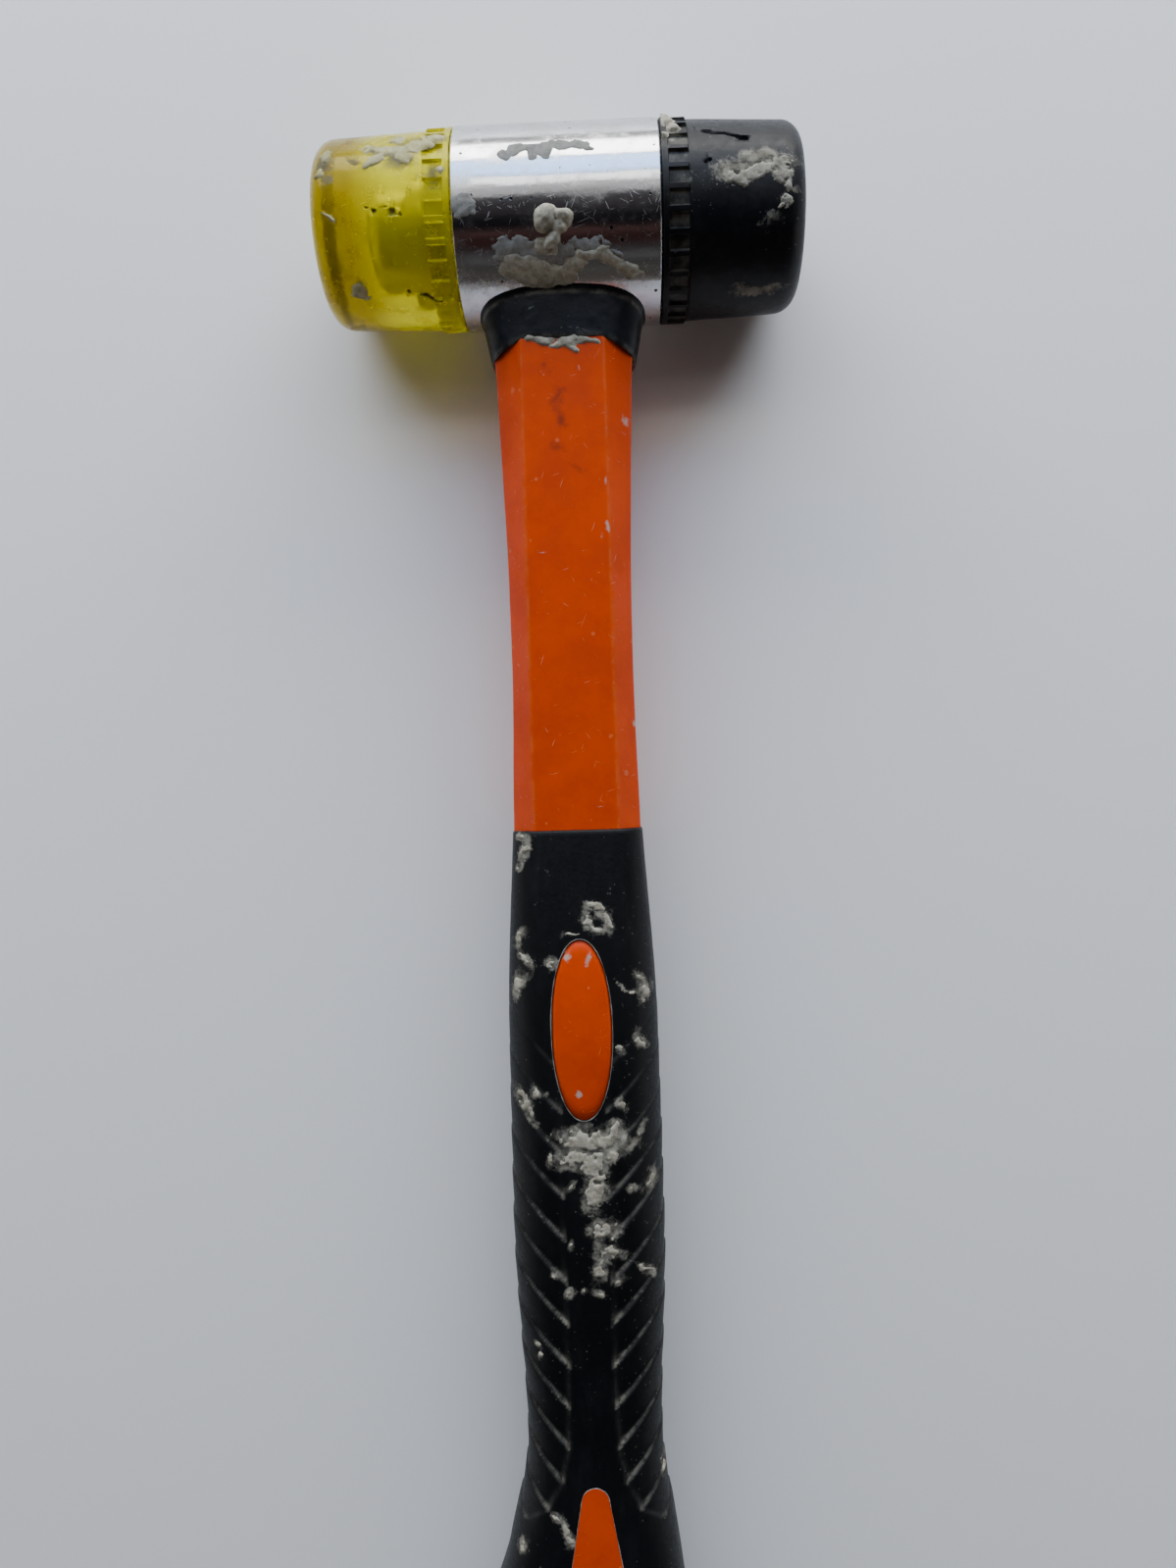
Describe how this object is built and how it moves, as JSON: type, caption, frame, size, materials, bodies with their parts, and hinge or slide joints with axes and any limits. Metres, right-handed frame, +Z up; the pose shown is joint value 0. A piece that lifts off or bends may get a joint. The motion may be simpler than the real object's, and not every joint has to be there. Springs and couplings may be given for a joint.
{
  "type": "rubber mallet",
  "caption": "Double-faced soft mallet: plated steel head with a screw-on clear yellow face and a black rubber face, on an orange fibreglass handle with a black rubber grip.",
  "frame": {"origin": "bottom centre of the whole mallet as it lies flat: on the lowest line of the head, midway between the striking ends and midway between the butt end and the far side of the head", "axes": "+X along the head towards the black rubber face, +Y along the handle towards the head, +Z up, out of the front of the handle"},
  "size_m": [0.0932, 0.308, 0.037],
  "materials": {
    "plated_steel": "bright chrome plating, hairline scratches and dried plaster",
    "turned_steel": "turned, lightly oiled",
    "clear_yellow_plastic": "see-through yellow, scuffed, plaster smears",
    "black_rubber": "worn semi-gloss, plaster smears",
    "collar_rubber": "smooth, dusty",
    "orange_plastic": "moulded semi-gloss, fine scratches",
    "glass_fibre": "pultruded, lengthwise fibres",
    "epoxy": "cast, slightly sunken",
    "grip_rubber": "moulded soft rubber with diagonal grooves"
  },
  "bodies": {
    "mallet": {"head_body": "plated_steel", "yellow_stud": "turned_steel", "black_stud": "turned_steel", "neck_collar": "collar_rubber", "handle_jacket": "orange_plastic", "handle_rod": "glass_fibre", "eye_filler": "epoxy", "grip": "grip_rubber"},
    "yellow_washer": {"yellow_washer": "turned_steel"},
    "yellow_face": {"yellow_face": "clear_yellow_plastic"},
    "black_washer": {"black_washer": "turned_steel"},
    "black_face": {"black_face": "black_rubber"}
  },
  "joints": [
    {"name": "yellow_travel", "type": "slide", "parent": "mallet", "child": "yellow_washer", "axis": [-1, 0, 0], "range_m": [0, 0.009]},
    {"name": "yellow_unscrew", "type": "hinge", "parent": "yellow_washer", "child": "yellow_face", "pos_m": [-0.033, 0.1355, 0.0185], "axis": [-1, 0, 0], "range_deg": [0, 1620]},
    {"name": "black_travel", "type": "slide", "parent": "mallet", "child": "black_washer", "axis": [1, 0, 0], "range_m": [0, 0.009]},
    {"name": "black_unscrew", "type": "hinge", "parent": "black_washer", "child": "black_face", "pos_m": [0.033, 0.1355, 0.0185], "axis": [1, 0, 0], "range_deg": [0, 1620]}
  ],
  "couplings": [
    {"joint": "yellow_travel", "follows": "yellow_unscrew", "m_per_rad": 0.00031831},
    {"joint": "black_travel", "follows": "black_unscrew", "m_per_rad": 0.00031831}
  ]
}
